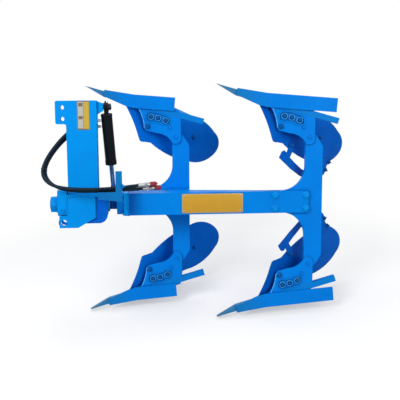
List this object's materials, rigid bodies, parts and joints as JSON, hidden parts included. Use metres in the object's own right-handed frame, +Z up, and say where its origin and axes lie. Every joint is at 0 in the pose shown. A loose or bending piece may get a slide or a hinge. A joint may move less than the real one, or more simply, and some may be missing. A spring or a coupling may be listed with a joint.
{
  "type": "two-furrow mounted reversible mouldboard plough",
  "caption": "Mounted reversible mouldboard plough: headstock with mast, turnover cylinder, beam, and mirrored upper and lower bodies.",
  "frame": {"origin": "middle of the cross shaft's bore in the headstock", "axes": "+X rearwards along the beam, +Z up from the floor, +Y to the plough's right; the plough leans towards +Y as it parks on its lower bar points and share wings"},
  "size_m": [1.8467, 0.8072, 1.3487],
  "materials": {
    "blue_paint": "glossy enamel",
    "shaft_paint": "greasy dark blue enamel",
    "black_paint": "black enamel",
    "chrome_rod": "hard chromed rod",
    "hose_rubber": "smooth hose cover",
    "zinc_steel": "zinc plated",
    "red_plastic": "soft moulded cap"
  },
  "bodies": {
    "headstock": {"bearing_plate": "blue_paint", "bearing_tube": "blue_paint", "cap_plate": "blue_paint", "cheek_plate_left": "blue_paint", "cheek_plate_right": "blue_paint", "coupler_far": "zinc_steel", "coupler_near": "zinc_steel", "cylinder_bracket": "blue_paint", "dust_cap_far": "red_plastic", "dust_cap_near": "red_plastic", "guide_bracket": "blue_paint", "hitch_plate_left": "blue_paint", "hitch_plate_right": "blue_paint", "hose_far": "hose_rubber", "hose_near": "hose_rubber", "mast_plate_left": "blue_paint", "mast_plate_right": "blue_paint", "mast_web": "blue_paint"},
    "rotor": {"bar_point_front_lower": "blue_paint", "bar_point_front_upper": "blue_paint", "bar_point_rear_lower": "blue_paint", "bar_point_rear_upper": "blue_paint", "frog_front_lower": "blue_paint", "frog_front_upper": "blue_paint", "frog_rear_lower": "blue_paint", "frog_rear_upper": "blue_paint", "landside_front_lower": "blue_paint", "landside_front_upper": "blue_paint", "landside_rear_lower": "blue_paint", "landside_rear_upper": "blue_paint", "leg_carrier": "blue_paint", "leg_front": "blue_paint", "leg_rear": "blue_paint", "main_beam": "blue_paint", "mouldboard_front_lower": "blue_paint", "mouldboard_front_upper": "blue_paint", "mouldboard_rear_lower": "blue_paint", "mouldboard_rear_upper": "blue_paint", "rotor_flange": "blue_paint", "rotor_hub": "blue_paint", "shaft_nut": "blue_paint", "share_front_lower": "blue_paint", "share_front_upper": "blue_paint", "share_rear_lower": "blue_paint", "share_rear_upper": "blue_paint", "trash_board_rear_lower": "blue_paint", "trash_board_rear_upper": "blue_paint", "turnover_shaft": "shaft_paint"},
    "cylinder_barrel_body": {"cylinder_barrel": "black_paint"},
    "cylinder_rod_body": {"cylinder_rod": "chrome_rod"}
  },
  "joints": [
    {"name": "turnover", "type": "hinge", "parent": "headstock", "child": "rotor", "pos_m": [0.00591, 0.01997, 0.09781], "axis": [0.9983, -0.0118, -0.0579], "range_deg": [0, 180]},
    {"name": "cylinder_swing", "type": "hinge", "parent": "headstock", "child": "cylinder_barrel_body", "pos_m": [0.28927, 0.12782, 0.62611], "axis": [1, 0.0009, 0.0046], "range_deg": [-18.78, 0.1]},
    {"name": "rod_slide", "type": "slide", "parent": "cylinder_barrel_body", "child": "cylinder_rod_body", "axis": [0.0046, -0.0183, -0.9998], "range_m": [-0.053, 0.138]}
  ],
  "couplings": [
    {"joint": "cylinder_swing", "follows": "turnover", "ratio": -0.10376}
  ]
}
